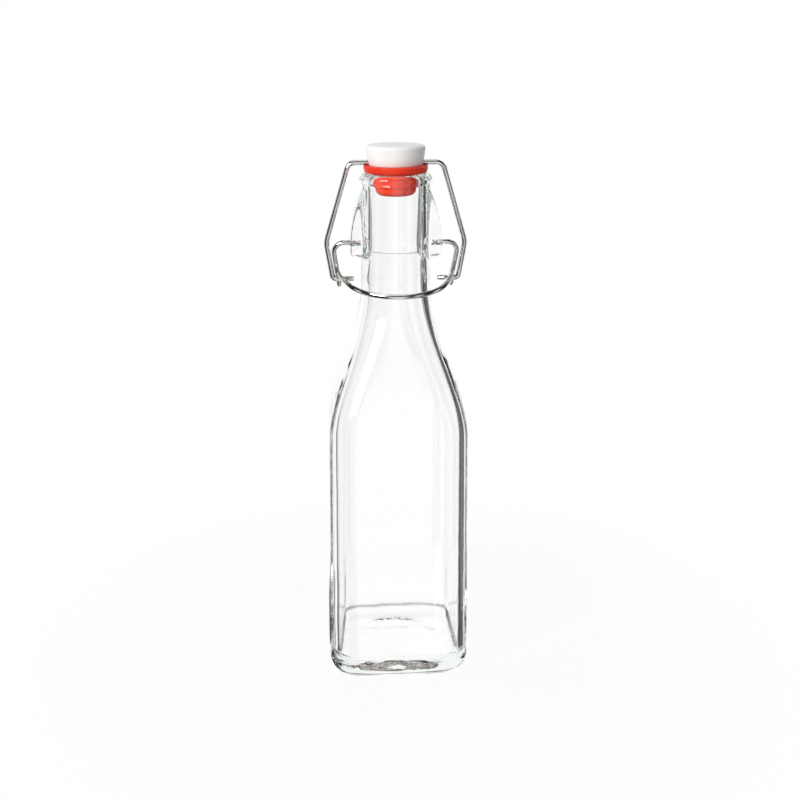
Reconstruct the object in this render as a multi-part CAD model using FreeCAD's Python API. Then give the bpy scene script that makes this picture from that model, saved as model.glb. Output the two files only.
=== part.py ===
"""Swing top bottle: a square glass bottle closed by a white cap with a red rubber seal.

Two bent steel wires hold the cap down. The lever wire turns in two blind holes in the glass ears,
and the bail wire runs from the hooks of the lever up through the cap.
Millimetres, +Z up. The origin is the middle of the base, the front faces -Y.
"""
import FreeCAD
import Part

import math
import os

from FreeCAD import Vector

# Glass body
body_width = 54.0
body_foot_spread = 0.7
body_corner_radius = 11.0
panel_half_angle = 3.0
body_height = 97.0
shoulder_height = 58.0
body_wall = 3.0
base_thickness = 7.0
heel_radius = 6.0
inner_heel_radius = 3.5
push_up_radius = 19.0
push_up_depth = 1.0
shoulder_sections = 9

# Glass neck, mouth and lip
neck_radius = 13.2
neck_height = 37.0
neck_wall = 3.0
finish_radius = 12.7
bore_radius = 9.8
bore_depth = 28.2
bore_ledge_height = 0.8
lip_radius = 13.7
lip_height = 4.2
mouth_edge_radius = 1.2

# Glass ears that hold the lever wire, measured down from the top of the lip
ear_reach = 17.3
ear_width = 13.0
ear_top_width = 9.0
ear_top_drop = 6.0
ear_heel_drop = 30.9
ear_bottom_drop = 32.0
ear_heel_radius = 2.4
ear_swell = 0.72
ear_edge_radius = 1.6
pivot_drop = 26.1
pivot_hole_depth = 4.4
pivot_end_gap = 0.4

# Steel wire of the bail and the lever
wire_radius = 0.95
pin_clearance = 0.08
hook_clearance = 0.15

# Rubber seal
seal_gap = 0.2
seal_flange_radius = 12.1
seal_flange_thickness = 2.7
seal_flange_edge = 0.8
seal_plug_depth = 8.2
seal_neck_radius = 8.6
seal_neck_height = 3.2
seal_groove_depth = 0.3
seal_ring_radius = 8.8
seal_ring_height = 0.5
seal_taper_radius = 8.0
seal_taper_height = 1.0
seal_taper_draft = 0.3
seal_tip_height = 2.6
seal_floor = 1.6

# Cap with the stem that carries the seal
cap_radius = 11.1
cap_foot_radius = 10.1
cap_height = 7.8
cap_edge_radius = 1.3
cap_crown = 0.25
cap_side_fullness = 0.6
stem_radius = 4.0
stem_bead_radius = 5.0
stem_bead_height = 1.6
stem_fit = 0.05

# Bail wire
bail_shoulder_half_width = 17.6
bail_elbow_half_width = 26.4
bail_foot_half_width = 24.0
bail_pin_half_gap = 16.0
bail_shoulder_bend = 3.4
bail_elbow_bend = 9.0
bail_foot_bend = 1.5

# Lever wire
lever_half_width = 24.0
lever_hook_half_width = 21.6
lever_corner_bend = 4.0
lever_loop_drop = 2.9
lever_loop_bend = 1.45
lever_reach = 23.0
lever_arm_slope = 10.5
lever_arm_straight = 1.2
lever_arm_bend = 5.0
lever_bow_radius = 19.6
hook_drop = 14.1
over_centre = 1.0

# Heights of the parts that stand on each other
shoulder_top = body_height + shoulder_height
lip_bottom = shoulder_top + neck_height
lip_top = lip_bottom + lip_height
pivot_z = lip_top - pivot_drop
seal_bottom = lip_top + seal_gap
cap_bottom = seal_bottom + seal_flange_thickness
cap_top = cap_bottom + cap_height
plug_bottom = lip_top - seal_plug_depth
stem_tip = plug_bottom + seal_floor
bail_z = cap_bottom + wire_radius + stem_fit
hook_z = pivot_z - hook_drop
hook_y = over_centre

ROUND_HALF_ANGLE = 22.5
UP = Vector(0, 0, 1)
ALONG_X = Vector(1, 0, 0)
ORIGIN = Vector(0, 0, 0)


def rounded_square(half_width, corner_radius, side_angle, z):
    """Closed outline of four side arcs and four corner arcs that meet tangent.

    side_angle is half the angle that a side arc turns through, so ROUND_HALF_ANGLE makes a circle.
    """
    sine = math.sin(math.radians(side_angle))
    cosine = math.cos(math.radians(side_angle))
    side_radius = (half_width - corner_radius * (cosine - sine)) / (1 + sine - cosine)
    corner_centre = (side_radius - corner_radius) * sine
    join_far = corner_centre + corner_radius * cosine
    join_near = corner_centre + corner_radius * sine
    corner_middle = corner_centre + corner_radius * math.sqrt(0.5)
    edges = []
    for quarter in range(4):
        turn = FreeCAD.Rotation(UP, 90 * quarter)
        side_start = turn.multVec(Vector(join_far, -join_near, z))
        side_middle = turn.multVec(Vector(half_width, 0, z))
        side_end = turn.multVec(Vector(join_far, join_near, z))
        corner_tip = turn.multVec(Vector(corner_middle, corner_middle, z))
        corner_end = turn.multVec(Vector(join_near, join_far, z))
        edges.append(Part.Arc(side_start, side_middle, side_end).toShape())
        edges.append(Part.Arc(side_end, corner_tip, corner_end).toShape())
    return Part.Wire(edges)


def square_to_round(body_half, corner_radius, round_radius):
    """Loft up the shoulder, from the body's rounded square to the neck's circle.

    The width, corner and side angle all follow the cubic 3t^2 - 2t^3, which is upright at both ends.
    """
    outlines = []
    for step in range(shoulder_sections):
        t = step / (shoulder_sections - 1)
        blend = t * t * (3 - 2 * t)
        outlines.append(rounded_square(
            body_half + (round_radius - body_half) * blend,
            corner_radius + (round_radius - corner_radius) * blend,
            panel_half_angle + (ROUND_HALF_ANGLE - panel_half_angle) * blend,
            body_height + shoulder_height * t,
        ))
    return Part.makeLoft(outlines, True, False)


def body_block(inset, bottom, edge_radius):
    """Body from bottom up to the shoulder, drawn in by inset: wider at its foot, round at its lower edge."""
    outlines = []
    for z in (bottom, body_height):
        spread = body_foot_spread * (1 - z / body_height) - inset
        outlines.append(rounded_square(body_width / 2 + spread, body_corner_radius + spread, panel_half_angle, z))
    block = Part.makeLoft(outlines, True, True)
    lower_edges = [edge for edge in block.Edges if edge.BoundBox.ZMax < bottom + 1e-6]
    return block.makeFillet(edge_radius, lower_edges)


def revolve_profile(edges):
    """Full turn of a closed profile in the XZ plane about the Z axis."""
    face = Part.Face(Part.Wire(Part.__sortEdges__(edges)))
    return face.revolve(ORIGIN, UP, 360)


def polyline(points):
    """Straight edges through (radius, height) points in the XZ plane."""
    corners = [Vector(radius, 0, height) for radius, height in points]
    return [Part.LineSegment(a, b).toShape() for a, b in zip(corners, corners[1:])]


def arc(start, middle, end):
    """Arc edge through three (radius, height) points in the XZ plane."""
    points = [Vector(radius, 0, height) for radius, height in (start, middle, end)]
    return Part.Arc(*points).toShape()


def quarter_round(start, end, centre):
    """Quarter arc between two (radius, height) points about a centre."""
    size = math.hypot(start[0] - centre[0], start[1] - centre[1])
    towards = (start[0] + end[0] - 2 * centre[0], start[1] + end[1] - 2 * centre[1])
    length = math.hypot(*towards)
    middle = (centre[0] + size * towards[0] / length, centre[1] + size * towards[1] / length)
    return arc(start, middle, end)


def round_corner(before, corner, after, radius):
    """Start, middle and end of the arc that rounds the corner between two straight runs."""
    back = (before - corner).normalize()
    ahead = (after - corner).normalize()
    half_angle = back.getAngle(ahead) / 2
    setback = radius / math.tan(half_angle)
    bisector = (back + ahead).normalize()
    middle = corner + bisector * (radius / math.sin(half_angle) - radius)
    return corner + back * setback, middle, corner + ahead * setback


def neck_outside():
    """Neck that narrows a little towards the finish, with the rounded bead of the lip on top."""
    bead = lip_height / 2
    bead_z = lip_bottom + bead
    bead_centre = lip_radius - bead
    finish_z = bead_z - math.sqrt(bead ** 2 - (finish_radius - bead_centre) ** 2)
    edges = polyline([(0, lip_top), (0, shoulder_top), (neck_radius, shoulder_top), (finish_radius, finish_z)])
    edges.append(arc((finish_radius, finish_z), (lip_radius, bead_z), (bead_centre, lip_top)))
    edges += polyline([(bead_centre, lip_top), (0, lip_top)])
    return revolve_profile(edges)


def neck_inside():
    """Mouth and bore, the small ledge at the end of the pressed bore, and the blown neck below it."""
    blown_radius = neck_radius - neck_wall
    ledge_top = lip_top - bore_depth
    ledge_bottom = ledge_top - bore_ledge_height
    flare_start = (bore_radius, lip_top - mouth_edge_radius)
    flare_end = (bore_radius + mouth_edge_radius, lip_top)
    flare_centre = (bore_radius + mouth_edge_radius, lip_top - mouth_edge_radius)
    above = lip_top + mouth_edge_radius
    edges = polyline([(0, shoulder_top), (blown_radius, shoulder_top), (blown_radius, ledge_bottom),
                      (bore_radius, ledge_top), flare_start])
    edges.append(quarter_round(flare_start, flare_end, flare_centre))
    edges += polyline([flare_end, (flare_end[0], above), (0, above), (0, shoulder_top)])
    return revolve_profile(edges)


def ear(side):
    """Moulded lug on one side of the neck: a wedge that swells out below the lip, round at its edges."""
    top_z = lip_top - ear_top_drop
    heel_z = lip_top - ear_heel_drop
    bottom_z = lip_top - ear_bottom_drop
    root = bore_radius + neck_wall / 2
    middle_z = (top_z + pivot_z) / 2
    middle_x = finish_radius + ear_swell * (ear_reach - finish_radius)
    swell = Part.BSplineCurve()
    swell.interpolate([Vector(finish_radius, 0, top_z), Vector(middle_x, 0, middle_z),
                       Vector(ear_reach, 0, pivot_z)])
    pivot_end, bottom_end = Vector(ear_reach, 0, pivot_z), Vector(root, 0, bottom_z)
    heel_arc = round_corner(pivot_end, Vector(ear_reach, 0, heel_z), bottom_end, ear_heel_radius)
    edges = [swell.toShape(), Part.LineSegment(pivot_end, heel_arc[0]).toShape(), Part.Arc(*heel_arc).toShape(),
             Part.LineSegment(heel_arc[2], bottom_end).toShape()]
    edges += polyline([(root, bottom_z), (root, top_z), (finish_radius, top_z)])
    wedge = Part.Face(Part.Wire(edges)).extrude(Vector(0, ear_width, 0))
    wedge.translate(Vector(0, -ear_width / 2, 0))
    half, top_half = ear_width / 2, ear_top_width / 2
    pad_corners = [Vector(0, -half, bottom_z), Vector(0, half, bottom_z), Vector(0, half, pivot_z),
                   Vector(0, top_half, top_z), Vector(0, -top_half, top_z), Vector(0, -half, pivot_z)]
    pad = Part.Face(Part.makePolygon(pad_corners + pad_corners[:1])).extrude(Vector(2 * ear_reach, 0, 0))
    lug = wedge.common(pad)
    outer_edges = [edge for edge in lug.Edges if edge.BoundBox.XMax > neck_radius
                   and edge.BoundBox.XLength + edge.BoundBox.ZLength > 1e-3]
    lug = lug.makeFillet(ear_edge_radius, outer_edges)
    if side < 0:
        lug = lug.mirror(ORIGIN, ALONG_X)
    return lug


def pivot_hole(side):
    """Blind hole in one ear for the pin of the lever wire."""
    bottom = Vector(side * (ear_reach - pivot_hole_depth), 0, pivot_z)
    return Part.makeCylinder(wire_radius + pin_clearance, 2 * pivot_hole_depth, bottom, ALONG_X * side)


def push_up():
    """Ball that hollows the base a little, so that the bottle stands on a ring."""
    ball_radius = (push_up_radius ** 2 + push_up_depth ** 2) / (2 * push_up_depth)
    return Part.makeSphere(ball_radius, Vector(0, 0, push_up_depth - ball_radius))


def glass_bottle():
    half = body_width / 2
    outside = body_block(0, 0, heel_radius)
    outside = outside.fuse([square_to_round(half, body_corner_radius, neck_radius), neck_outside(),
                            ear(1), ear(-1)])
    inside = body_block(body_wall, base_thickness, inner_heel_radius)
    inside = inside.fuse([square_to_round(half - body_wall, body_corner_radius - body_wall,
                                          neck_radius - neck_wall), neck_inside()])
    return outside.cut([inside, pivot_hole(1), pivot_hole(-1), push_up()])


def stem_outline(offset):
    """(radius, height) points down the cap's stem, with a bead near the tip that holds the seal on."""
    bead_top = stem_tip + stem_bead_height + offset
    return [(stem_radius + offset, cap_bottom), (stem_radius + offset, bead_top),
            (stem_bead_radius + offset, bead_top),
            (stem_bead_radius + offset, stem_tip + stem_bead_height / 2),
            (stem_radius + offset, stem_tip - offset)]


def stopper_cap():
    """Cap with a low crown and a tapered side. A U-groove under it takes the straight of the bail wire."""
    rim = (cap_radius - cap_edge_radius, cap_top - cap_crown)
    edge_end = (cap_radius, rim[1] - cap_edge_radius)
    foot = (cap_foot_radius, cap_bottom)
    side_radius = cap_foot_radius + cap_side_fullness * (cap_radius - cap_foot_radius)
    bulge = (side_radius, (edge_end[1] + cap_bottom) / 2)
    crown_middle = (rim[0] / 2, cap_top - cap_crown / 4)
    edges = [arc((0, cap_top), crown_middle, rim),
             quarter_round(rim, edge_end, (rim[0], edge_end[1])),
             arc(edge_end, bulge, foot)]
    edges += polyline([foot] + stem_outline(0) + [(0, stem_tip), (0, cap_top)])
    cap = revolve_profile(edges)
    groove_radius = wire_radius + stem_fit
    length = 4 * cap_radius
    groove = Part.makeCylinder(groove_radius, length, Vector(-length / 2, 0, bail_z), ALONG_X)
    slot = Part.makeBox(length, 2 * groove_radius, bail_z - cap_bottom,
                        Vector(-length / 2, -groove_radius, cap_bottom))
    return cap.cut(groove.fuse(slot))


def sealing_gasket():
    """Rubber cup on the stem: a flange that lies on the lip and a plug with a sealing ring in the mouth."""
    edge = seal_flange_edge
    flange_foot = seal_flange_radius - edge / 2
    neck_end = seal_bottom - seal_neck_height
    ring_top = neck_end - 2 * seal_groove_depth
    ring_end = ring_top - seal_ring_height
    taper_end = ring_end - seal_taper_height
    tip_radius = seal_taper_radius - seal_taper_draft
    tip_centre = (tip_radius - seal_tip_height, plug_bottom + seal_tip_height)
    edges = polyline([(stem_radius + stem_fit, cap_bottom), (seal_flange_radius - edge, cap_bottom)])
    edges.append(quarter_round((seal_flange_radius - edge, cap_bottom), (seal_flange_radius, cap_bottom - edge),
                               (seal_flange_radius - edge, cap_bottom - edge)))
    edges += polyline([(seal_flange_radius, cap_bottom - edge), (flange_foot, seal_bottom + edge / 2)])
    edges.append(quarter_round((flange_foot, seal_bottom + edge / 2), (flange_foot - edge / 2, seal_bottom),
                               (flange_foot - edge / 2, seal_bottom + edge / 2)))
    edges += polyline([(flange_foot - edge / 2, seal_bottom), (seal_neck_radius, seal_bottom),
                       (seal_neck_radius, neck_end), (seal_neck_radius - seal_groove_depth, neck_end),
                       (seal_neck_radius - seal_groove_depth, ring_top), (seal_ring_radius, ring_top),
                       (seal_ring_radius, ring_end), (seal_taper_radius, taper_end),
                       (tip_radius, tip_centre[1])])
    edges.append(quarter_round((tip_radius, tip_centre[1]), (tip_centre[0], plug_bottom), tip_centre))
    edges += polyline([(tip_centre[0], plug_bottom), (0, plug_bottom), (0, stem_tip - stem_fit)]
                      + stem_outline(stem_fit)[::-1])
    return revolve_profile(edges)


def bent_wire(corners, bends):
    """Round wire through the corners, each inner corner bent to its radius, with flat ends."""
    edges = []
    start = corners[0]
    for before, corner, after, bend in zip(corners, corners[1:], corners[2:], bends):
        arc_start, arc_middle, arc_end = round_corner(before, corner, after, bend)
        if (arc_start - start).Length > 1e-6:
            edges.append(Part.LineSegment(start, arc_start).toShape())
        edges.append(Part.Arc(arc_start, arc_middle, arc_end).toShape())
        start = arc_end
    edges.append(Part.LineSegment(start, corners[-1]).toShape())
    path = Part.Wire(edges)
    section = Part.Wire(Part.makeCircle(wire_radius, corners[0], corners[1] - corners[0]))
    return path.makePipeShell([section], True, False)


def both_sides(half_corners, half_bends, middle_corners, middle_bends):
    """Whole path of a wire that is its own mirror image about X = 0, from one half and its middle."""
    mirrored = [Vector(-corner.x, corner.y, corner.z) for corner in half_corners]
    corners = half_corners + middle_corners + mirrored[::-1]
    return corners, half_bends + middle_bends + half_bends[::-1]


def bail_wire():
    """Wire from the two lever hooks up both sides, over the shoulders and straight through the cap."""
    def in_plane(x, z):
        return Vector(x, hook_y * (bail_z - z) / (bail_z - hook_z), z)

    half = [in_plane(bail_pin_half_gap, hook_z), in_plane(bail_foot_half_width, hook_z),
            in_plane(bail_elbow_half_width, pivot_z), in_plane(bail_shoulder_half_width, bail_z)]
    corners, bends = both_sides(half, [bail_foot_bend, bail_elbow_bend, bail_shoulder_bend], [], [])
    return bent_wire(corners, bends)


def lever_wire():
    """Wire from the pins in the ears down to a loop, over the hook on the bail and round the front."""
    hook_radius = 2 * wire_radius + hook_clearance
    loop_z = hook_z - lever_loop_drop
    limb_y = hook_y + hook_radius
    loop_y = limb_y + lever_loop_bend
    loop_height = pivot_z - loop_z - lever_loop_bend
    lean = math.atan2(loop_y, loop_height) + math.asin(lever_loop_bend / math.hypot(loop_y, loop_height))
    slope = math.radians(lever_arm_slope)
    arm_y = hook_y - hook_radius * math.sin(slope)
    arm_z = hook_z + hook_radius * math.cos(slope)

    def on_arm(x, y):
        return Vector(x, y, arm_z + (y - arm_y) * math.tan(slope))

    pin_end = ear_reach - pivot_hole_depth + pivot_end_gap
    hook_x = lever_hook_half_width
    bow_ahead = lever_reach - lever_bow_radius - lever_arm_straight
    arm_lean = math.atan2(hook_x, bow_ahead) - math.asin(lever_bow_radius / math.hypot(hook_x, bow_ahead))
    arms_meet = -lever_arm_straight - hook_x / math.tan(arm_lean)
    half = [Vector(pin_end, 0, pivot_z), Vector(lever_half_width, 0, pivot_z),
            Vector(hook_x, (pivot_z - loop_z) * math.tan(lean), loop_z), Vector(hook_x, limb_y, loop_z),
            on_arm(hook_x, limb_y), on_arm(hook_x, -lever_arm_straight)]
    corners, bends = both_sides(half, [lever_corner_bend, lever_loop_bend, lever_loop_bend, hook_radius,
                                       lever_arm_bend], [on_arm(0, arms_meet)], [lever_bow_radius])
    return bent_wire(corners, bends)


if __name__ == "__main__":
    os.makedirs("parts", exist_ok=True)
    for build in (glass_bottle, lever_wire, bail_wire, stopper_cap, sealing_gasket):
        shape = build()
        if shape.ShapeType != "Solid" and len(shape.Solids) == 1:
            shape = shape.Solids[0]
        shape.exportStep("parts/" + build.__name__ + ".step")
        box = shape.BoundBox
        print(build.__name__, "valid", shape.isValid(), "volume", round(shape.Volume, 1),
              "size", [round(length, 2) for length in (box.XLength, box.YLength, box.ZLength)])
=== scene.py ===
# %% [markdown]
# # A swing top bottle
# The object is a square bottle of clear glass. Two bent steel wires hold a white cap with a red
# rubber seal on its mouth. The frame holds the five pieces as solids and says how they move.
# A solid's mesh is flat triangles, and glass shows every facet, so each piece is worked out again
# here as a smooth surface, in the same place and at the same size.

# %% Load the frame
import math

import bpy
import numpy as np
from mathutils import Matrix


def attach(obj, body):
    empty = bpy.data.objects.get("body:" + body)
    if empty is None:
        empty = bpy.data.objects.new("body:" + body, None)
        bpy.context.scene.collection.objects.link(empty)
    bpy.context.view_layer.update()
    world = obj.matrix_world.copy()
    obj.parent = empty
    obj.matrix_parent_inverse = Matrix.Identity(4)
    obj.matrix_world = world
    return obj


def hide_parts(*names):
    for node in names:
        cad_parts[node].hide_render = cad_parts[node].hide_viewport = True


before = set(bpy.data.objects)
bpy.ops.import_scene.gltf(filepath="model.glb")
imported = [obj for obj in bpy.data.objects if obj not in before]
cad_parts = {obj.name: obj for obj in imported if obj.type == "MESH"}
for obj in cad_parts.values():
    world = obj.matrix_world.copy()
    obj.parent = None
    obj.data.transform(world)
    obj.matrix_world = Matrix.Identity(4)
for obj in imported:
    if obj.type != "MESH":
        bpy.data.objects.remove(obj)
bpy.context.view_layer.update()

scene = bpy.context.scene
scene.view_settings.view_transform = "Standard"
# A ray crosses many walls of glass before it leaves the bottle, so its path may be long.
ALL_BOUNCES = 40
GLASS_BOUNCES = 32
scene.cycles.max_bounces = ALL_BOUNCES
scene.cycles.glossy_bounces = GLASS_BOUNCES
scene.cycles.transmission_bounces = GLASS_BOUNCES
MM = 0.001

# %% [markdown]
# ## The camera
# The photograph looks down on the bottle from a little left of its front. The base is wider in it
# than a level camera would show, and the sides lean in towards the base. Both together give the
# camera's height, tilt and distance. The picture is cut a little above the lens axis, which is the
# small shift.

# %% Camera
# Angles are in radians, and lengths in millimetres.
CAMERA_TURN = 0.07
CAMERA_TILT = 0.2685
CAMERA_HEIGHT = 246.0
CAMERA_DISTANCE = 444.5
CAMERA_ASIDE = 1.6
FOCAL_PIXELS = 1182.9
FRAME_PIXELS = 800
SHIFT_PIXELS = -40
SENSOR_WIDTH = 36.0
NEAREST_VIEW = 10.0


def place_camera():
    """Camera at a distance along its heading, tilted down, at its height above the floor."""
    data = bpy.data.cameras.new("photo_camera")
    data.sensor_width = SENSOR_WIDTH
    data.lens = data.sensor_width * FOCAL_PIXELS / FRAME_PIXELS
    data.shift_y = SHIFT_PIXELS / FRAME_PIXELS
    data.clip_start = NEAREST_VIEW * MM
    camera = bpy.data.objects.new("photo_camera", data)
    sine, cosine = math.sin(CAMERA_TURN), math.cos(CAMERA_TURN)
    camera.location = (
        (CAMERA_ASIDE * cosine - CAMERA_DISTANCE * sine) * MM,
        (-CAMERA_ASIDE * sine - CAMERA_DISTANCE * cosine) * MM,
        CAMERA_HEIGHT * MM,
    )
    camera.rotation_euler = (math.pi / 2 - CAMERA_TILT, 0, -CAMERA_TURN)
    scene.collection.objects.link(camera)
    scene.camera = camera
    return camera


camera = place_camera()
print("lens", round(camera.data.lens, 1), "mm at", [round(v, 3) for v in camera.location])

# %% [markdown]
# ## Arithmetic on shader sockets
# A finish is a small formula: a pattern, scaled and mixed. Written with node calls it is hard to
# read, so a socket is wrapped in a class whose operators add the Math nodes. Everything else, from
# a noise to the shader itself, comes from its one method `node`.

# %% Shader sockets as values
class Sock:
    """A shader socket that takes part in Python arithmetic."""

    def __init__(self, tree, socket=None):
        self.tree = tree
        self.socket = socket

    def node(self, kind, settings=None, inputs=None, output=0):
        """Add a node, set its settings, then set or link its inputs, and return one output."""
        made = self.tree.nodes.new(kind)
        for name, value in (settings or {}).items():
            setattr(made, name, value)
        for name, value in (inputs or {}).items():
            if isinstance(value, Sock):
                self.tree.links.new(value.socket, made.inputs[name])
            else:
                made.inputs[name].default_value = value
        return Sock(self.tree, made.outputs[output]) if len(made.outputs) else made

    def math(self, operation, *values):
        """One Math node on values or sockets, taken in their order."""
        inputs = dict(enumerate(values))
        return self.node("ShaderNodeMath", {"operation": operation}, inputs)

    def __add__(self, other):
        return self.math("ADD", self, other)

    def __radd__(self, other):
        return self.math("ADD", other, self)

    def __sub__(self, other):
        return self.math("SUBTRACT", self, other)

    def __rsub__(self, other):
        return self.math("SUBTRACT", other, self)

    def __mul__(self, other):
        return self.math("MULTIPLY", self, other)

    def __rmul__(self, other):
        return self.math("MULTIPLY", other, self)

    def between(self, low, high):
        """0 below low and 1 above high, with a smooth step between them."""
        return self.node(
            "ShaderNodeMapRange",
            {"interpolation_type": "SMOOTHSTEP"},
            {"Value": self, "From Min": low, "From Max": high},
        )

    def mix_colour(self, low, high):
        """The colour low where this value is 0, and high where it is 1."""
        return self.node("ShaderNodeMix", {"data_type": "RGBA"}, {0: self, 6: low, 7: high}, 2)


def empty_tree(owner):
    """Node tree of a material or world with no nodes in it."""
    owner.use_nodes = True
    owner.node_tree.nodes.clear()
    return Sock(owner.node_tree)


# %% [markdown]
# ## The white surround
# Clear glass has no colour of its own: it shows what is around it. In an all-white room it would
# vanish, so a photographer stands dark boards beside the white backdrop, and the bent rays at the
# edges of the glass find them and draw its outline. A board could be a dark sheet in the scene,
# but the camera would see it too. Here the boards are upright bands of azimuth in the world, with
# white between them in the directions that the pictures look, and only transmitted rays see them.

# %% Bands and kinds of ray
def upright_bands(place, bands, soft):
    """1 inside upright bands round the axis and 0 between them.

    A band is the azimuth of its middle, clockwise from +Y, and half its width, in degrees.
    """
    east = place.node("ShaderNodeSeparateXYZ", None, {0: place})
    north = Sock(place.tree, east.socket.node.outputs[1])
    azimuth = east.math("ARCTAN2", east, north)
    covered = None
    for centre, half in bands:
        away = azimuth - math.radians(centre)
        band = away.math("COSINE", away).between(
            math.cos(math.radians(half + soft)), math.cos(math.radians(half - soft)))
        covered = band if covered is None else covered.math("MAXIMUM", covered, band)
    return covered


def ray_kind(tree, name):
    """1 for rays of one kind, such as camera rays, and 0 for all others."""
    return tree.node("ShaderNodeLightPath", None, None, name)


# %% [markdown]
# Each kind of ray finds its own light. The camera sees plain white. Transmitted rays see the white
# with the boards on it. Mirrored rays see a dim room with a few white windows, which gives the
# steel its dark sides. Matt surfaces see even light.

# %% Light for each kind of ray
WHITE = (1, 1, 1, 1)
BOARD_SHADE = 0.07
WINDOWS = [(0, 45), (180, 20), (135, 6), (90, 6), (-45, 6), (-90, 6)]
WINDOW_SOFT = 5
DIM_ROOM = 0.03
ROOM_LIGHT = 0.3


def room_level(tree, place, shade, dull):
    """Light level for each kind of ray, then which rays are matt and which are the camera's.

    shade darkens the white that transmitted rays find, and dull what mirrored rays find, 0 to 1.
    """
    through = ray_kind(tree, "Is Transmission Ray")
    mirrored = ray_kind(tree, "Is Glossy Ray") * (1.0 - through)
    camera_ray = ray_kind(tree, "Is Camera Ray")
    backdrop = 1.0 - shade * (1.0 - BOARD_SHADE)
    lit = upright_bands(place, WINDOWS, WINDOW_SOFT)
    windows = DIM_ROOM + (1.0 - DIM_ROOM) * lit * (1.0 - dull)
    matt = 1.0 - camera_ray.math("MAXIMUM", camera_ray, through + mirrored)
    level = camera_ray + through * backdrop + mirrored * windows + matt * ROOM_LIGHT
    return level, matt, camera_ray


# %% [markdown]
# The world holds the boards. Two low ones show only to rays that run steeply down, as those from
# the heel do. Overhead the room is dim to transmitted rays, and the windows end below that.
# A height in the world is the upward part of a ray's direction, from -1 straight down to 1
# straight up, and a pair of heights is where a change starts and ends.

# %% World
BOARDS = [(53, 23), (-65, 10.5), (-138, 12), (200, 6), (112, 14)]
LOW_BOARDS = [(-27, 8), (44, 16)]
BOARD_SOFT = 2.5
LOW_BOARD_TOP = (-0.435, -0.415)
CEILING = (0.6, 0.85)
CEILING_SHADE = 0.85
WINDOW_TOP = (0.3, 0.55)


def make_world():
    """White world that darkens, by a ray's direction, at the boards and the ceiling."""
    world = bpy.data.worlds.new("white_room")
    scene.world = world
    tree = empty_tree(world)
    direction = tree.node("ShaderNodeTexCoord", None, None, "Generated")
    height = tree.node("ShaderNodeSeparateXYZ", None, {0: direction}, "Z")
    boards = upright_bands(direction, BOARDS, BOARD_SOFT)
    low = upright_bands(direction, LOW_BOARDS, BOARD_SOFT)
    low = low * (1.0 - height.between(*LOW_BOARD_TOP))
    ceiling = height.between(*CEILING) * CEILING_SHADE
    shade = boards.math("MAXIMUM", boards.math("MAXIMUM", boards, low), ceiling)
    level = room_level(tree, direction, shade, height.between(*WINDOW_TOP))[0]
    light = tree.node("ShaderNodeBackground", None, {"Color": WHITE, "Strength": level})
    tree.node("ShaderNodeOutputWorld", None, {"Surface": light})


make_world()
print("boards", len(BOARDS) + len(LOW_BOARDS), "windows", len(WINDOWS))

# %% [markdown]
# The floor is a pale disc a hair below the bottle. The camera sees it white, with a faint shadow.
# Rays from the glass find a thin grey line there, round the foot: a contact shadow painted on
# the floor, which the camera doesn't see. Farther out the floor lets them through, so that they
# find the same boards below it as above it. Mirrored rays see two dark cards on it beside the foot.

# %% Floor
# Lengths of the stage are in metres. A pair of lengths is where a change starts and ends.
FLOOR_RADIUS = 0.6
FLOOR_COLUMNS = 96
FLOOR_GAP = 0.00005
FLOOR_WHITE = 0.93
FLOOR_SHADOW = 0.1
SHADOW_FADE = (0.05, 0.2)
# The ring round the foot is a contact shadow painted on the floor, which only transmitted rays see.
FOOT_SHADOW_RING = 0.031
FOOT_SHADOW_RING_FADE = 0.002
FOOT_SHADOW_DEPTH = 0.6
CLEAR_FLOOR = (0.034, 0.038)
CARDS = [(-52, 24), (52, 22)]
CARD_FADE = (0.1, 0.12)


def pale_floor():
    """White to the camera and to the glass, matt to other rays, with a faint shadow.

    The foot's line is a contact shadow painted on the floor, seen only by transmitted rays.
    It lies where the fourth root of x^4 + y^4 has one value: a rounded square.
    """
    material = bpy.data.materials.new("pale_floor")
    tree = empty_tree(material)
    place = tree.node("ShaderNodeTexCoord", None, None, "Object")
    radius = tree.node("ShaderNodeVectorMath", {"operation": "LENGTH"}, {0: place}, "Value")
    squared = tree.node("ShaderNodeVectorMath", {"operation": "MULTIPLY"}, {0: place, 1: place})
    square = tree.node("ShaderNodeVectorMath", {"operation": "LENGTH"}, {0: squared}, "Value")
    foot = square.math("SQRT", square)
    # Painted contact shadow: a thin grey ring round the foot that darkens what transmitted rays
    # find.
    line = (foot.between(FOOT_SHADOW_RING - FOOT_SHADOW_RING_FADE, FOOT_SHADOW_RING)
            * (1.0 - foot.between(FOOT_SHADOW_RING, FOOT_SHADOW_RING + FOOT_SHADOW_RING_FADE)))
    cards = upright_bands(place, CARDS, WINDOW_SOFT) * (1.0 - radius.between(*CARD_FADE))
    level, matt_ray, camera_ray = room_level(tree, place, line * FOOT_SHADOW_DEPTH, cards)
    glow = tree.node("ShaderNodeEmission", None, {"Color": WHITE, "Strength": level})
    matt = tree.node("ShaderNodeBsdfDiffuse", None, {"Color": (FLOOR_WHITE,) * 3 + (1,)})
    shadow = camera_ray * (1.0 - radius.between(*SHADOW_FADE)) * FLOOR_SHADOW
    surface = tree.node("ShaderNodeMixShader", None, {0: matt_ray + shadow, 1: glow, 2: matt})
    clear = tree.node("ShaderNodeBsdfTransparent", None, {"Color": WHITE})
    far = ray_kind(tree, "Is Transmission Ray") * foot.between(*CLEAR_FLOOR)
    surface = tree.node("ShaderNodeMixShader", None, {0: far, 1: surface, 2: clear})
    tree.node("ShaderNodeOutputMaterial", None, {"Surface": surface})
    return material


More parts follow.
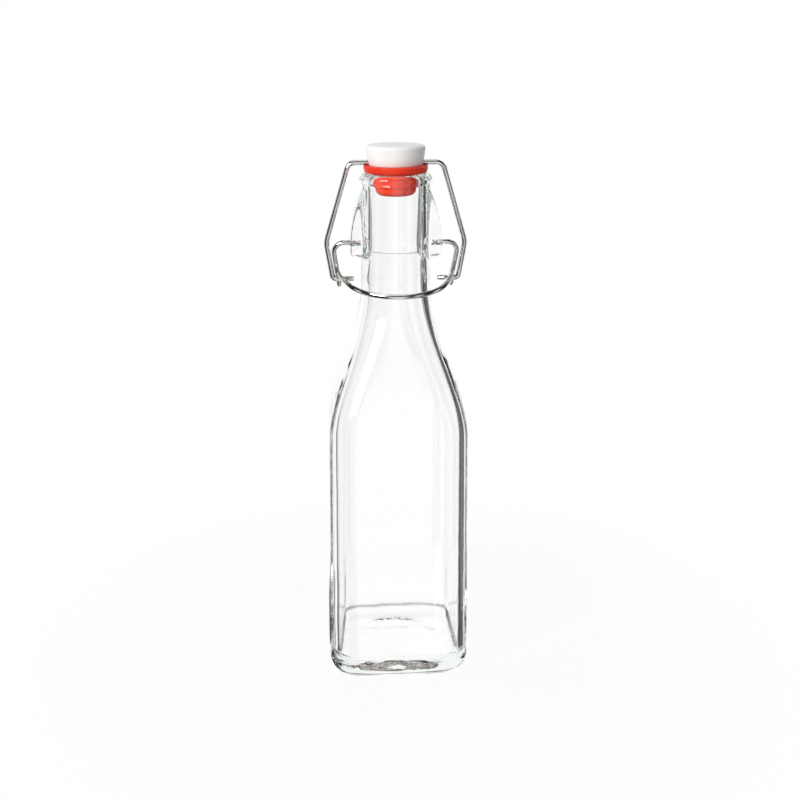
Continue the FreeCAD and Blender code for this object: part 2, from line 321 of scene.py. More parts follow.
def make_floor():
    """Flat disc: points at equal turns on a circle, joined by one face."""
    turn = np.linspace(0, 2 * np.pi, FLOOR_COLUMNS, endpoint=False)
    rim = np.stack([np.cos(turn), np.sin(turn), np.zeros_like(turn)], 1) * FLOOR_RADIUS
    mesh = bpy.data.meshes.new("floor")
    mesh.from_pydata(rim.tolist(), [], [list(range(len(rim)))])
    floor = bpy.data.objects.new("floor", mesh)
    floor.location.z = -FLOOR_GAP
    scene.collection.objects.link(floor)
    mesh.materials.append(pale_floor())


make_floor()
print("floor", 2 * FLOOR_RADIUS, "m across")

# %% [markdown]
# ## The lamps
# The cap is lightest on its left side and greyest on its right, so the strongest lamp stands front
# left and high. A weaker one overhead lights the top of the cap, and a faint one behind lifts the
# far edges. All are wide area lamps, because a small lamp would draw hard shadows.

# %% Lamps
LAMP_AIM = (0, 0, 0.12)
KEY_WATTS = 7.5
TOP_WATTS = 1.5
BACK_WATTS = 0.3


def softbox(name, place, size, watts):
    """Square area lamp that faces the bottle's shoulder."""
    data = bpy.data.lights.new(name, "AREA")
    data.energy = watts
    data.size = size
    lamp = bpy.data.objects.new(name, data)
    lamp.location = place
    aim = np.array(place) - np.array(LAMP_AIM)
    tilt = math.acos(aim[2] / np.linalg.norm(aim))
    lamp.rotation_euler = (tilt, 0, math.atan2(aim[1], aim[0]) + math.pi / 2)
    scene.collection.objects.link(lamp)


softbox("key_lamp", (-0.6, -0.65, 0.62), 0.45, KEY_WATTS)
softbox("top_lamp", (-0.05, 0.05, 1.0), 0.5, TOP_WATTS)
softbox("back_lamp", (0.4, 0.75, 0.7), 0.5, BACK_WATTS)
print("lamps", KEY_WATTS, TOP_WATTS, BACK_WATTS, "W")

# %% [markdown]
# ## Surfaces from grids
# Every piece is a grid of points: rows along its profile or path, and columns around it. The
# columns close on themselves, and the first and last row each close in one point, so the mesh is
# watertight. Faces are wound so that the volume comes out positive, which points them outwards.

# %% Grid to mesh
def closed_surface(name, rows, first, last, flow=None):
    """Mesh object from rows of points (rows, columns, 3) in mm, closed at two end points.

    flow gives two values per grid point, stored as a UV map: millimetres along and around.
    """
    count, around = rows.shape[:2]
    points = np.concatenate([
        np.reshape(first, (1, 3)), rows.reshape(-1, 3), np.reshape(last, (1, 3))])
    index = 1 + np.arange(count * around).reshape(count, around)
    after = np.roll(index, -1, axis=1)
    quads = np.stack([index[:-1], after[:-1], after[1:], index[1:]], -1).reshape(-1, 4)
    start = np.stack([np.zeros_like(index[0]), after[0], index[0]], -1)
    end = np.stack([np.full_like(index[0], len(points) - 1), index[-1], after[-1]], -1)
    a, b, c, d = (points[quads[:, k]] for k in range(4))
    volume = np.einsum("ij,ij->i", a, np.cross(b, c) + np.cross(c, d)).sum()
    if volume < 0:
        quads, start, end = quads[:, ::-1], start[:, ::-1], end[:, ::-1]
    mesh = bpy.data.meshes.new(name)
    mesh.from_pydata((points * MM).tolist(), [], quads.tolist() + start.tolist() + end.tolist())
    mesh.shade_smooth()
    if flow is not None:
        values = np.concatenate([flow[:1, 0], flow.reshape(-1, 2), flow[-1:, 0]])
        corner = np.empty(len(mesh.loops), np.int32)
        mesh.loops.foreach_get("vertex_index", corner)
        layer = mesh.uv_layers.new(name="flow")
        layer.data.foreach_set("uv", values[corner].ravel().astype(np.float32))
    piece = bpy.data.objects.new(name, mesh)
    scene.collection.objects.link(piece)
    print(name, len(mesh.vertices), "points", len(mesh.polygons), "faces")
    return piece


def dress(piece, body, node, material):
    """Ride a piece on its body in place of its node, with its finish."""
    piece.data.materials.append(material)
    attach(piece, body)
    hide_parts(node)


def ease(value, low, high):
    """Smooth step from 0 at low to 1 at high."""
    t = np.clip((value - low) / (high - low), 0, 1)
    return t * t * (3 - 2 * t)


# %% [markdown]
# ## The glass
# The bottle is blown: its wall is one skin that runs from the middle of the base outside, up over
# the lip and down to the middle of the floor inside. So it is one grid. Each row is an outline of
# four side arcs and four corner arcs that meet without a kink. With the side arcs turning through
# 45 degrees it is a circle, and with 6 degrees a rounded square, so the same formula goes smoothly
# from the square body to the round neck.

# %% Outlines of the glass
# Lengths of the pieces are in millimetres, and angles of the outlines in degrees.
BODY_HALF = 27.0
FOOT_SPREAD = 0.7
BODY_CORNER = 11.0
PANEL_ANGLE = 3.0
ROUND_ANGLE = 22.5
NECK_ANGLE = 34.0
SIDE_COLUMNS = 56
CORNER_COLUMNS = 16
NECK_BLEND = 8.0


def outline(rows):
    """Points of rounded squares. A row is height, half width, corner radius and side angle.

    A side arc is centred on the axis of its side, a corner arc on the diagonal. The side radius is
    the one for which both have the same place and direction where they meet.
    """
    height, half, corner, angle = (rows[:, k, None] for k in range(4))
    angle = np.radians(angle)
    sine, cosine = np.sin(angle), np.cos(angle)
    side = (half - corner * (cosine - sine)) / (1 + sine - cosine)
    centre = (side - corner) * sine
    along_side = np.arange(SIDE_COLUMNS) / SIDE_COLUMNS
    along_corner = np.arange(CORNER_COLUMNS) / CORNER_COLUMNS
    side_turn = angle * (2 * along_side - 1)
    corner_turn = angle + (np.pi / 2 - 2 * angle) * along_corner
    x = np.concatenate(
        [half - side + side * np.cos(side_turn), centre + corner * np.cos(corner_turn)], 1)
    y = np.concatenate([side * np.sin(side_turn), centre + corner * np.sin(corner_turn)], 1)
    whole_x = np.concatenate([x, -y, -x, y], 1)
    whole_y = np.concatenate([y, x, -y, -x], 1)
    return np.stack([whole_x, whole_y, np.broadcast_to(height, whole_x.shape)], -1)


def row_list(height, half, corner=None, angle=None):
    """Rows for outline(): round unless a corner radius and a side angle are given.

    A circle comes out the same with any side angle. A wide one on the neck crowds the columns there
    at the ears.
    """
    if corner is None:
        corner = half
        up_neck = ease(height, SHOULDER_TOP, SHOULDER_TOP + NECK_BLEND)
        angle = ROUND_ANGLE + (NECK_ANGLE - ROUND_ANGLE) * up_neck
    return np.stack(np.broadcast_arrays(height, half, corner, angle), -1).astype(float)


# %% [markdown]
# The wall outside starts at the top of the shallow push-up under the base, crosses the ring that
# the bottle stands on and turns up round the heel. The shoulder follows the cubic that leaves the
# body and meets the neck upright. The inside is the same with the wall taken off.

# %% Profile of the glass
BODY_HEIGHT = 97.0
SHOULDER_HEIGHT = 58.0
NECK_RADIUS = 13.2
NECK_HEIGHT = 37.0
FINISH_RADIUS = 12.7
WALL = 3.0
BASE = 7.0
HEEL = 6.0
INNER_HEEL = 3.5
PUSH_UP_RADIUS = 19.0
PUSH_UP_DEPTH = 1.0
BORE_RADIUS = 9.8
BORE_DEPTH = 28.2
LEDGE = 0.8
LEDGE_STEP = (0.25, 0.75)
LIP_RADIUS = 13.7
LIP_HEIGHT = 4.2
MOUTH_EDGE = 1.2
FIRST_RING = 0.04

# Rows of the grid on each stretch of the skin, more of them where it bends.
ROWS = dict(base=12, stand=6, heel=12, body=12, shoulder=40, neck=130, lip=22, bore=8, ledge=12,
            blown=6, inner_body=10, floor=8)

SHOULDER_TOP = BODY_HEIGHT + SHOULDER_HEIGHT
LIP_BOTTOM = SHOULDER_TOP + NECK_HEIGHT
LIP_TOP = LIP_BOTTOM + LIP_HEIGHT


def shoulder_rows(half, corner, radius):
    """Rows up the shoulder: every size follows 3t^2 - 2t^3 from the body to the neck."""
    t = np.linspace(0, 1, ROWS["shoulder"])
    blend = ease(t, 0, 1)
    angle = PANEL_ANGLE + (ROUND_ANGLE - PANEL_ANGLE) * blend
    return row_list(BODY_HEIGHT + SHOULDER_HEIGHT * t, half + (radius - half) * blend,
                    corner + (radius - corner) * blend, angle)


def body_rows(height, inset):
    """Rows of the body's straight wall, which spreads a little towards the foot."""
    spread = FOOT_SPREAD * (1 - height / BODY_HEIGHT) - inset
    return row_list(height, BODY_HALF + spread, BODY_CORNER + spread, PANEL_ANGLE)


def heel_rows(bottom, inset, radius):
    """Rows round a heel: the wall drawn in by the radius, let out along a quarter circle."""
    turn = np.linspace(0, np.pi / 2, ROWS["heel"])
    return body_rows(bottom + radius * (1 - np.cos(turn)), inset + radius * (1 - np.sin(turn)))


def base_rows():
    """Rows of the push-up, a shallow cap of a sphere, from its middle out to the standing ring."""
    sphere = (PUSH_UP_RADIUS ** 2 + PUSH_UP_DEPTH ** 2) / (2 * PUSH_UP_DEPTH)
    radius = PUSH_UP_RADIUS * np.linspace(FIRST_RING, 1, ROWS["base"])
    return row_list(PUSH_UP_DEPTH - sphere + np.sqrt(sphere ** 2 - radius ** 2), radius)


def lip_rows():
    """Rows over the lip: a bead from the neck up to its flat top, and the round of the mouth."""
    bead = LIP_HEIGHT / 2
    centre = LIP_RADIUS - bead
    start = -math.acos((FINISH_RADIUS - centre) / bead)
    turn = np.linspace(start, np.pi / 2, ROWS["lip"])
    bead_rows = row_list(LIP_BOTTOM + bead + bead * np.sin(turn), centre + bead * np.cos(turn))
    turn = np.linspace(0, np.pi / 2, ROWS["lip"] // 2)
    mouth = row_list(LIP_TOP - MOUTH_EDGE * (1 - np.cos(turn)),
                     BORE_RADIUS + MOUTH_EDGE * (1 - np.sin(turn)))
    return np.concatenate([bead_rows, mouth])


def neck_rows():
    """Rows up the neck, which narrows a little from the shoulder to the lip."""
    bead = LIP_HEIGHT / 2
    end = LIP_BOTTOM + bead - math.sqrt(bead ** 2 - (FINISH_RADIUS - LIP_RADIUS + bead) ** 2)
    t = np.linspace(0, 1, ROWS["neck"])[1:-1]
    return row_list(SHOULDER_TOP + (end - SHOULDER_TOP) * t,
                    NECK_RADIUS + (FINISH_RADIUS - NECK_RADIUS) * t)


def bore_rows():
    """Rows down the pressed bore, over its small ledge and down the blown neck."""
    blown = NECK_RADIUS - WALL
    ledge = LIP_TOP - BORE_DEPTH
    upper = row_list(np.linspace(LIP_TOP - MOUTH_EDGE, ledge, ROWS["bore"])[1:], BORE_RADIUS)
    t = np.linspace(0, 1, ROWS["ledge"])[1:]
    step = row_list(ledge - LEDGE * t, BORE_RADIUS + (blown - BORE_RADIUS) * ease(t, *LEDGE_STEP))
    lower = row_list(np.linspace(ledge - LEDGE, SHOULDER_TOP, ROWS["blown"])[1:-1], blown)
    return np.concatenate([upper, step, lower])


# %% [markdown]
# The two ears are moulded on the neck and take the pins of the lever. An ear is pressed out of the
# neck's rows: points inside its outline are pushed out along X to the ear's face, with round
# edges, and the points inside the pin's circle are pushed back in, which makes the blind hole.

# %% Ears of the glass
EAR_REACH = 17.3
EAR_HALF_WIDTH = 6.5
EAR_TOP_HALF_WIDTH = 4.5
EAR_TOP = LIP_TOP - 6.0
EAR_HEEL = LIP_TOP - 28.9
EAR_HEEL_RADIUS = 2.4
PIVOT_HEIGHT = LIP_TOP - 26.1
HOLE_RADIUS = 1.03
HOLE_DEPTH = 4.4
EAR_LEAN = 0.12

# A roll is how far a round edge reaches out of an outline, and how far into it.
EAR_SIDE_ROLL = (0.4, 1.5)
EAR_HEEL_ROLL = (0.9, 0.8)
HOLE_ROLL = (0.2, 0.1)


def within(distance, edge, roll):
    """1 where the distance is less than the edge and 0 where it is more, eased over the roll."""
    return ease(-distance, -edge - roll[0], roll[1] - edge)


def press_ears(points):
    """Push the neck's points out to the ears' faces.

    The face lies at the reach round the pivot, falls back to the neck above it, and turns under in
    a round heel below. The sides roll over from the face to the neck.
    """
    x, y, z = points[..., 0], points[..., 1], points[..., 2]
    rise = np.clip((z - PIVOT_HEIGHT) / (EAR_TOP - PIVOT_HEIGHT), 0, 1)
    fall = EAR_LEAN * rise + (1 - EAR_LEAN) * rise ** 2
    face = EAR_REACH - (EAR_REACH - FINISH_RADIUS) * fall
    under = np.clip((EAR_HEEL - z) / EAR_HEEL_RADIUS, 0, 1)
    face -= EAR_HEEL_RADIUS * (1 - np.sqrt(1 - under ** 2))
    half = EAR_HALF_WIDTH + (EAR_TOP_HALF_WIDTH - EAR_HALF_WIDTH) * rise
    inside = within(np.abs(y), half, EAR_SIDE_ROLL)
    inside *= within(-z, EAR_HEEL_RADIUS - EAR_HEEL, EAR_HEEL_ROLL)
    neck = np.abs(x)
    pressed = neck + np.maximum(face - neck, 0) * inside
    pressed -= HOLE_DEPTH * within(np.hypot(y, z - PIVOT_HEIGHT), HOLE_RADIUS, HOLE_ROLL)
    moved = points.copy()
    moved[..., 0] = np.sign(x) * pressed
    return moved


# %% [markdown]
# With its stretches at hand, the skin is put together in the order in which a finger would follow
# it: under the base, up the wall, over the neck and the lip, and down again inside. A shell with a
# Solidify modifier would give an even wall, and this one is thicker in the base.

# %% Skin of the glass
def glass_surface():
    """The whole skin of the glass, from the push-up outside to the floor inside."""
    ring = heel_rows(0, 0, HEEL)
    inner_heel = heel_rows(BASE, WALL, INNER_HEEL)
    t = np.linspace(0, 1, ROWS["stand"])[1:-1, None]
    stand = row_list(0, PUSH_UP_RADIUS) * (1 - t) + ring[:1] * t
    fade = np.linspace(1, FIRST_RING, ROWS["floor"])[1:, None]
    floor_rows = inner_heel[:1] * fade + row_list(BASE, 0, 0, PANEL_ANGLE) * (1 - fade)
    body = body_rows(np.linspace(HEEL, BODY_HEIGHT, ROWS["body"])[1:-1], 0)
    inner_heights = np.linspace(BODY_HEIGHT, BASE + INNER_HEEL, ROWS["inner_body"])[1:-1]
    outside = outline(np.concatenate([
        base_rows(), stand, ring, body, shoulder_rows(BODY_HALF, BODY_CORNER, NECK_RADIUS)]))
    neck = press_ears(outline(neck_rows()))
    inside = outline(np.concatenate([
        lip_rows(), bore_rows(),
        shoulder_rows(BODY_HALF - WALL, BODY_CORNER - WALL, NECK_RADIUS - WALL)[::-1],
        body_rows(inner_heights, WALL), inner_heel[::-1], floor_rows]))
    rows = np.concatenate([outside, neck, inside])
    return closed_surface("bottle_glass", rows, (0, 0, PUSH_UP_DEPTH), (0, 0, BASE))


glass = glass_surface()

# %% [markdown]
# Bottle glass is clear, with a trace of green where it is thick. So its colour is an absorption in
# its volume, and not a tint of its surface. The mould leaves the skin faintly wavy, most of all at
# the foot, which is a bump from two noises. Shadow rays pass a plain see-through shader, because
# refracting glass stops them, and the bottle would throw a black shadow.

# %% Clear glass
# Heights are in metres, as the shader reads them.
FOOT_WAVES = (0.006, 0.012)
FOOT_WAVE = 3.0
FOOT_RIPPLE = 0.6
HAZE = 0.015


def clear_glass():
    """Clear glass: a faint waviness from the mould and a trace of haze, over a plain clear body."""
    material = bpy.data.materials.new("clear_glass")
    tree = empty_tree(material)
    place = tree.node("ShaderNodeTexCoord", None, None, "Object")
    height = tree.node("ShaderNodeSeparateXYZ", None, {0: place}, "Z")
    wave = tree.node("ShaderNodeTexNoise", None, {"Vector": place, "Scale": 90.0, "Detail": 2.0})
    ripple = tree.node("ShaderNodeTexNoise", None, {"Vector": place, "Scale": 420.0, "Detail": 2.0})
    foot = 1.0 - height.between(*FOOT_WAVES)
    waves = wave + foot * (FOOT_WAVE * wave + FOOT_RIPPLE * ripple)
    bump = tree.node("ShaderNodeBump", None, {
        "Height": waves, "Strength": 0.04, "Distance": 0.002})
    haze = tree.node("ShaderNodeTexNoise", None, {"Vector": place, "Scale": 260.0, "Detail": 4.0})
    shader = tree.node("ShaderNodeBsdfPrincipled", None, {
        "Base Color": WHITE, "Roughness": haze.between(0.5, 0.75) * HAZE,
        "IOR": 1.5, "Transmission Weight": 1.0, "Normal": bump})
    tint = tree.node("ShaderNodeVolumeAbsorption", None, {
        "Color": (0.8, 0.9, 0.86, 1), "Density": 7.0})
    clear = tree.node("ShaderNodeBsdfTransparent", None, {"Color": (0.7, 0.72, 0.71, 1)})
    in_shadow = ray_kind(tree, "Is Shadow Ray")
    surface = tree.node("ShaderNodeMixShader", None, {0: in_shadow, 1: shader, 2: clear})
    tree.node("ShaderNodeOutputMaterial", None, {"Surface": surface, "Volume": tint})
    return material


dress(glass, "bottle", "glass_bottle", clear_glass())

# %% [markdown]
# ## The wires
# Both wires are drawn steel, bent cold. A bent wire is straight runs joined by arcs, so a path is
# given by its corners and the bend at each, and a circle is carried along it. The circle's frame
# is turned from station to station by the least that follows the path, so that the tube doesn't
# twist.

# %% Bent wire
WIRE_RADIUS = 0.95
WIRE_COLUMNS = 24
BEND_STEPS = 14
SAME_POINT = 1e-4
END_ROUND = 0.25 * WIRE_RADIUS


def bent_path(corners, bends):
    """Points along straight runs and tangent arcs. An arc leaves a corner's runs at the setback."""
    corners = np.array(corners, float)
    pieces = [corners[:1]]
    for before, corner, after, bend in zip(corners, corners[1:], corners[2:], bends):
        back = (before - corner) / np.linalg.norm(before - corner)
        ahead = (after - corner) / np.linalg.norm(after - corner)
        half = math.acos(np.clip(back @ ahead, -1, 1)) / 2
        middle = (back + ahead) / np.linalg.norm(back + ahead)
        centre = corner + middle * bend / math.sin(half)
        across = (back - ahead) / np.linalg.norm(back - ahead)
        turn = np.linspace(half - np.pi / 2, np.pi / 2 - half, BEND_STEPS)[:, None]
        pieces.append(centre - bend * (np.cos(turn) * middle + np.sin(turn) * across))
    pieces.append(corners[-1:])
    return np.concatenate(pieces)


def wire(name, corners, bends):
    """Round wire along a bent path, with its ends rounded over."""
    path = bent_path(corners, bends)
    step = np.linalg.norm(np.diff(path, axis=0), axis=1)
    path = path[np.concatenate([[True], step > SAME_POINT])]
    step = np.diff(path, axis=0)
    length = np.linalg.norm(step, axis=1)
    tangent = np.gradient(path, np.concatenate([[0], np.cumsum(length)]), axis=0)
    tangent /= np.linalg.norm(tangent, axis=1)[:, None]
    side = np.empty_like(path)
    side[0] = np.cross(tangent[0], (0, 0, 1.0))
    for k in range(1, len(path)):
        side[k] = side[k - 1] - (side[k - 1] @ tangent[k]) * tangent[k]
        side[k] /= np.linalg.norm(side[k])
    over = np.cross(tangent, side)
    path = np.concatenate([path[:1], path[:1] + END_ROUND * tangent[:1], path[1:-1],
                           path[-1:] - END_ROUND * tangent[-1:], path[-1:]])
    side, over = (np.concatenate([a[:1], a[:1], a[1:-1], a[-1:], a[-1:]]) for a in (side, over))
    radius = np.full(len(path), WIRE_RADIUS)
    radius[[0, -1]] -= END_ROUND
    turn = np.arange(WIRE_COLUMNS) * 2 * np.pi / WIRE_COLUMNS
    ring = np.cos(turn)[:, None] * side[:, None] + np.sin(turn)[:, None] * over[:, None]
    rows = path[:, None] + radius[:, None, None] * ring
    along = np.concatenate([[0], np.cumsum(np.linalg.norm(np.diff(path, axis=0), axis=1))])
    flow = np.stack(np.broadcast_arrays(along[:, None], WIRE_RADIUS * turn), -1)
    return closed_surface(name, rows, path[0], path[-1], flow)


def both_sides(half_corners, half_bends, middle_corners=(), middle_bends=()):
    """Whole path of a wire that is its own mirror image, from one half and its middle."""
    half = np.array(half_corners, float)
    middle = np.reshape(middle_corners, (-1, 3))
    return (np.concatenate([half, middle, half[::-1] * (-1, 1, 1)]),
            [*half_bends, *middle_bends, *half_bends[::-1]])


# %% [markdown]
# The bail hangs on the cap. From its straight through the cap it drops over two shoulders to an
# elbow, and its feet turn inwards under the hooks of the lever.

# %% Bail wire
SEAL_GAP = 0.2
SEAL_FLANGE = 2.7
CAP_HEIGHT = 7.8
WIRE_SEAT = 0.05
SEAL_BOTTOM = LIP_TOP + SEAL_GAP
CAP_BOTTOM = SEAL_BOTTOM + SEAL_FLANGE
CAP_TOP = CAP_BOTTOM + CAP_HEIGHT
BAIL_HEIGHT = CAP_BOTTOM + WIRE_RADIUS + WIRE_SEAT
HOOK_DROP = 14.1
HOOK_HEIGHT = PIVOT_HEIGHT - HOOK_DROP
HOOK_BACK = 1.0
BAIL_SHOULDER = 17.6
BAIL_ELBOW = 26.4
BAIL_FOOT = 24.0
BAIL_PIN_END = 16.0
FOOT_BEND = 1.5
ELBOW_BEND = 9.0
SHOULDER_BEND = 3.4


def bail_point(x, z):
    """Point of the bail's plane, which leans back a little towards its feet."""
    return (x, HOOK_BACK * (BAIL_HEIGHT - z) / (BAIL_HEIGHT - HOOK_HEIGHT), z)


bail_half = [bail_point(BAIL_PIN_END, HOOK_HEIGHT), bail_point(BAIL_FOOT, HOOK_HEIGHT),
             bail_point(BAIL_ELBOW, PIVOT_HEIGHT), bail_point(BAIL_SHOULDER, BAIL_HEIGHT)]
bail_bends = [FOOT_BEND, ELBOW_BEND, SHOULDER_BEND]
bail = wire("bail_steel", *both_sides(bail_half, bail_bends))

# %% [markdown]
# The lever's ends are pins in the ears. From there each leg drops behind the bail's foot, turns up
# in a tight loop and hooks over the foot. The two arms run forward, a little down, into the bow.

# %% Lever wire
LEVER_HALF = 24.0
LEVER_HOOK = 21.6
LOOP_DROP = 2.9
LOOP_BEND = 1.45
LEVER_REACH = 23.0
ARM_SLOPE = math.radians(10.5)
ARM_STRAIGHT = 1.2
BOW_BEND = 19.6
PIN_BEND = 4.0
ARM_BEND = 5.0
HOOK_PLAY = 0.15
HOOK_BEND = 2 * WIRE_RADIUS + HOOK_PLAY
PIN_PLAY = 0.4
PIN_END = EAR_REACH - HOLE_DEPTH + PIN_PLAY


def arm_point(x, y):
    """Point on the plane of the arms, which touches the hook's circle and slopes forward."""
    start_y = HOOK_BACK - HOOK_BEND * math.sin(ARM_SLOPE)
    start_z = HOOK_HEIGHT + HOOK_BEND * math.cos(ARM_SLOPE)
    return (x, y, start_z + (y - start_y) * math.tan(ARM_SLOPE))


def lever_half():
    """Corners of one half of the lever, from its pin to the start of the bow."""
    loop_z = HOOK_HEIGHT - LOOP_DROP
    limb_y = HOOK_BACK + HOOK_BEND
    loop_y = limb_y + LOOP_BEND
    drop = PIVOT_HEIGHT - loop_z - LOOP_BEND
    lean = math.atan2(loop_y, drop) + math.asin(LOOP_BEND / math.hypot(loop_y, drop))
    loop_back = (PIVOT_HEIGHT - loop_z) * math.tan(lean)
    return [(PIN_END, 0, PIVOT_HEIGHT), (LEVER_HALF, 0, PIVOT_HEIGHT),
            (LEVER_HOOK, loop_back, loop_z), (LEVER_HOOK, limb_y, loop_z),
            arm_point(LEVER_HOOK, limb_y), arm_point(LEVER_HOOK, -ARM_STRAIGHT)]


def bow_corner():
    """Point in front where the two arms would meet, each a tangent to the circle of the bow."""
    ahead = LEVER_REACH - BOW_BEND - ARM_STRAIGHT
    lean = math.atan2(LEVER_HOOK, ahead) - math.asin(BOW_BEND / math.hypot(LEVER_HOOK, ahead))
    return arm_point(0, -ARM_STRAIGHT - LEVER_HOOK / math.tan(lean))


lever_bends = [PIN_BEND, LOOP_BEND, LOOP_BEND, HOOK_BEND, ARM_BEND]
lever = wire("lever_steel", *both_sides(lever_half(), lever_bends, bow_corner(), [BOW_BEND]))

# %% [markdown]
# Drawn wire keeps fine lines along its length from the die. The wires carry a UV map of
# millimetres along and around, so a noise that is stretched along that map follows every bend.
# Object coordinates would let the lines cut across the bends.

# %% Steel of the wires
def drawn_steel():
    """Bright drawn wire: fine lines along its length, a little dull where hands have been."""
    material = bpy.data.materials.new("drawn_steel")
    tree = empty_tree(material)
    flow = tree.node("ShaderNodeUVMap", {"uv_map": "flow"})
    lines_place = tree.node("ShaderNodeMapping", None, {"Vector": flow, "Scale": (0.05, 6.0, 1.0)})
    lines = tree.node("ShaderNodeTexNoise", None, {
        "Vector": lines_place, "Scale": 1.0, "Detail": 3.0})
    patches = tree.node("ShaderNodeTexNoise", None, {"Vector": flow, "Scale": 0.18, "Detail": 3.0})
    bump = tree.node("ShaderNodeBump", None, {
        "Height": lines, "Strength": 0.15, "Distance": 0.0002})
    colour = patches.between(0.35, 0.7).mix_colour((0.58, 0.57, 0.55, 1), (0.7, 0.69, 0.67, 1))
    shader = tree.node("ShaderNodeBsdfPrincipled", None, {
        "Base Color": colour, "Metallic": 1.0, "Roughness": 0.05 + patches * 0.1, "Normal": bump})
    tree.node("ShaderNodeOutputMaterial", None, {"Surface": shader})
    return material


steel = drawn_steel()
dress(bail, "bail", "bail_wire", steel)
dress(lever, "lever", "lever_wire", steel)

# %% [markdown]
# ## The stopper
# The cap and the rubber are turned shapes, so each is a profile of radius and height that is
# carried round the axis. The profiles are straight runs with their corners rounded, and a round
# corner is a few points on a quadratic curve that touches both runs.

# %% Turned shapes
TURN_COLUMNS = 160
POLE_RADIUS = 0.5
CORNER_SHARE = 0.45
CORNER_STEPS = 6


def turned_rows(profile):
    """Circles about the axis, one for each point of the profile."""
    turn = np.arange(TURN_COLUMNS) * 2 * np.pi / TURN_COLUMNS
    radius, height = profile[:, 0, None], profile[:, 1, None]
    return np.stack(np.broadcast_arrays(radius * np.cos(turn), radius * np.sin(turn), height), -1)


def rounded_profile(points, radius):
    """Profile with each inner corner replaced by a quadratic curve.

    The curve starts and ends at the radius from the corner, or nearer where a run is short.
    """
    points = np.array(points, float)
    pieces = [points[:1]]
    t = np.linspace(0, 1, CORNER_STEPS)[:, None]
    for before, corner, after in zip(points, points[1:], points[2:]):
        back, ahead = before - corner, after - corner
        length_back, length_ahead = np.linalg.norm(back), np.linalg.norm(ahead)
        start = corner + back / length_back * min(radius, CORNER_SHARE * length_back)
        end = corner + ahead / length_ahead * min(radius, CORNER_SHARE * length_ahead)
        pieces.append((1 - t) ** 2 * start + 2 * t * (1 - t) * corner + t ** 2 * end)
    pieces.append(points[-1:])
    return np.concatenate(pieces)


# %% [markdown]
# The cap is white plastic, wider at the top than at its foot, with a low crown. The bail runs in a
# notch on either side. Cutting the notch with a Boolean would leave ragged faces, so the points
# that lie in it are pushed in instead.

# %% Cap
CAP_RADIUS = 11.1
CAP_FOOT = 10.1
CAP_EDGE = 1.3
CAP_CROWN = 0.25
CROWN_RING = 0.03
SIDE_LEAN = 0.6
FOOT_EDGE = 0.25
FOOT_ROUND = 0.08
GROOVE_DEPTH = 3.0
GROOVE_INNER = CAP_FOOT / 2 + 1
GROOVE_ROLL = (0.12, 0.12)


def cap_surface():
    """Low crown, round edge and a side that draws in to the foot, with a notch for the bail."""
    t = np.linspace(CROWN_RING, 1, 8)
    top = np.stack([(CAP_RADIUS - CAP_EDGE) * t, CAP_TOP - CAP_CROWN * t ** 2], 1)
    turn = np.linspace(0, np.pi / 2, 10)[1:]
    edge_z = CAP_TOP - CAP_CROWN - CAP_EDGE
    edge_x = CAP_RADIUS - CAP_EDGE * (1 - np.sin(turn))
    edge = np.stack([edge_x, edge_z + CAP_EDGE * np.cos(turn)], 1)
    t = np.linspace(0, 1, 28)[1:]
    draw_in = SIDE_LEAN * t + (1 - SIDE_LEAN) * t ** 2
    side = np.stack([CAP_RADIUS - (CAP_RADIUS - CAP_FOOT) * draw_in,
                     edge_z + (CAP_BOTTOM + FOOT_EDGE - edge_z) * t], 1)
    foot = np.array([[CAP_FOOT - FOOT_ROUND, CAP_BOTTOM + FOOT_ROUND],
                     [CAP_FOOT - FOOT_EDGE, CAP_BOTTOM],
                     [CAP_FOOT / 2, CAP_BOTTOM], [POLE_RADIUS, CAP_BOTTOM]])
    rows = turned_rows(np.concatenate([top, edge, side, foot]))
    x, y, z = rows[..., 0], rows[..., 1], rows[..., 2]
    above = np.hypot(y, np.maximum(z - BAIL_HEIGHT, 0))
    notch = within(above, WIRE_RADIUS + WIRE_SEAT, GROOVE_ROLL) * (np.abs(x) > GROOVE_INNER)
    rows[..., 0] = np.sign(x) * (np.abs(x) - GROOVE_DEPTH * notch)
    return closed_surface("cap_moulding", rows, (0, 0, CAP_TOP), (0, 0, CAP_BOTTOM))


def white_moulding():
    """White plastic with a fine satin grain and a faint warm cast in patches."""
    material = bpy.data.materials.new("white_moulding")
    tree = empty_tree(material)
    place = tree.node("ShaderNodeTexCoord", None, None, "Object")
    grain = tree.node("ShaderNodeTexNoise", None, {"Vector": place, "Scale": 2200.0, "Detail": 2.0})
    cast = tree.node("ShaderNodeTexNoise", None, {"Vector": place, "Scale": 120.0, "Detail": 3.0})
    bump = tree.node("ShaderNodeBump", None, {
        "Height": grain, "Strength": 0.05, "Distance": 0.0002})
    colour = cast.between(0.3, 0.7).mix_colour((0.87, 0.87, 0.86, 1), (0.91, 0.91, 0.89, 1))
    shader = tree.node("ShaderNodeBsdfPrincipled", None, {
        "Base Color": colour, "Roughness": 0.34 + cast * 0.1, "IOR": 1.46, "Normal": bump})
    tree.node("ShaderNodeOutputMaterial", None, {"Surface": shader})
    return material


dress(cap_surface(), "stopper", "stopper_cap", white_moulding())

# %% [markdown]
# The seal is a soft red cup under the cap. Its flange lies on the lip, and its plug, with one
# raised ring, goes into the mouth. Rubber scatters light widely, so its finish is a rough, even
# red. A fine skin of bump keeps its highlight from looking like hard plastic.

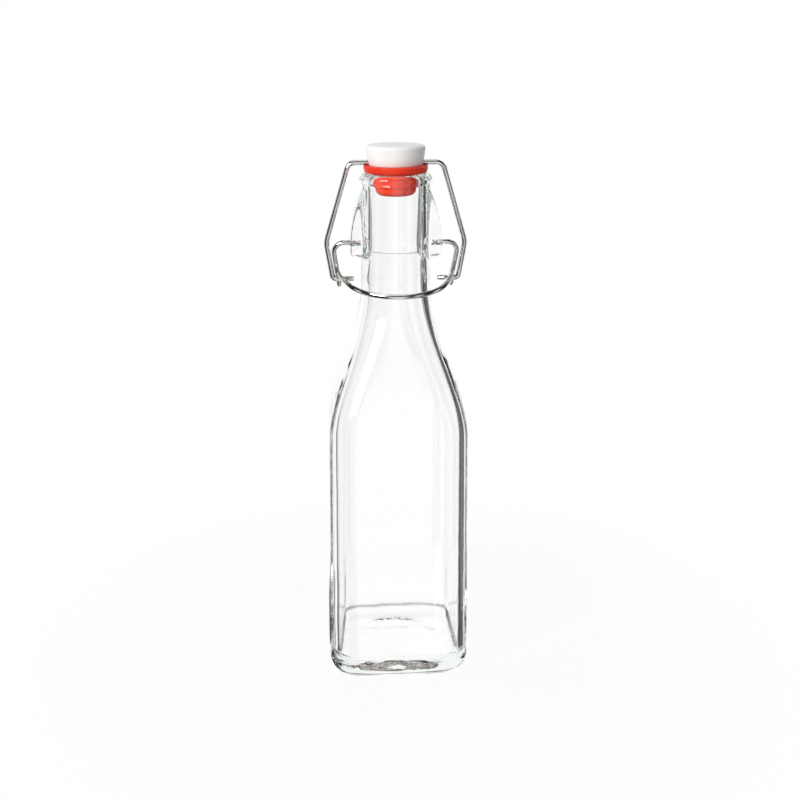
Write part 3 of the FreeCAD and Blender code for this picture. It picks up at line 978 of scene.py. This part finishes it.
# %% Rubber seal
FLANGE_RADIUS = 12.1
FLANGE_EDGE = 0.8
PLUG_BOTTOM = LIP_TOP - 8.2
PLUG_NECK = 8.6
PLUG_NECK_HEIGHT = 3.2
RING_GROOVE = 0.3
RING_RADIUS = 8.8
RING_HEIGHT = 0.5
TAPER_RADIUS = 8.0
TAPER_HEIGHT = 1.0
TAPER_DRAFT = 0.3
TIP_HEIGHT = 2.6
PLUG_ROUND = 0.2
CAP_CLEARANCE = 0.01


def seal_surface():
    """Rubber cup from the top of its flange round the rim, down the plug and over its tip."""
    flange_top = CAP_BOTTOM - CAP_CLEARANCE
    neck_end = SEAL_BOTTOM - PLUG_NECK_HEIGHT
    ring_top = neck_end - 2 * RING_GROOVE
    ring_end = ring_top - RING_HEIGHT
    tip = TAPER_RADIUS - TAPER_DRAFT
    foot = FLANGE_RADIUS - FLANGE_EDGE / 2
    flange = rounded_profile([(POLE_RADIUS, flange_top), (FLANGE_RADIUS, flange_top),
                              (FLANGE_RADIUS, CAP_BOTTOM - FLANGE_EDGE), (foot, SEAL_BOTTOM),
                              (PLUG_NECK, SEAL_BOTTOM)], FLANGE_EDGE)
    plug = rounded_profile([
        (PLUG_NECK, SEAL_BOTTOM), (PLUG_NECK, neck_end),
        (PLUG_NECK - RING_GROOVE, neck_end), (PLUG_NECK - RING_GROOVE, ring_top),
        (RING_RADIUS, ring_top), (RING_RADIUS, ring_end),
        (TAPER_RADIUS, ring_end - TAPER_HEIGHT), (tip, PLUG_BOTTOM + TIP_HEIGHT)], PLUG_ROUND)
    turn = np.linspace(0, np.pi / 2, 14)[1:]
    dome = np.stack([tip - TIP_HEIGHT * (1 - np.cos(turn)),
                     PLUG_BOTTOM + TIP_HEIGHT * (1 - np.sin(turn))], 1)
    rows = turned_rows(np.concatenate([flange, plug, dome, [(POLE_RADIUS, PLUG_BOTTOM)]]))
    return closed_surface("seal_rubber", rows, (0, 0, CAP_BOTTOM), (0, 0, PLUG_BOTTOM))


def red_rubber():
    """Soft red rubber: even colour that is a touch duller in patches, with a fine skin."""
    material = bpy.data.materials.new("red_rubber")
    tree = empty_tree(material)
    place = tree.node("ShaderNodeTexCoord", None, None, "Object")
    skin = tree.node("ShaderNodeTexNoise", None, {"Vector": place, "Scale": 1500.0, "Detail": 3.0})
    dull = tree.node("ShaderNodeTexNoise", None, {"Vector": place, "Scale": 180.0, "Detail": 3.0})
    bump = tree.node("ShaderNodeBump", None, {"Height": skin, "Strength": 0.12, "Distance": 0.0002})
    colour = dull.between(0.3, 0.7).mix_colour((0.78, 0.03, 0.004, 1), (0.86, 0.04, 0.008, 1))
    shader = tree.node("ShaderNodeBsdfPrincipled", None, {
        "Base Color": colour, "Roughness": 0.36 + dull * 0.16, "IOR": 1.4, "Normal": bump})
    tree.node("ShaderNodeOutputMaterial", None, {"Surface": shader})
    return material


dress(seal_surface(), "stopper", "sealing_gasket", red_rubber())
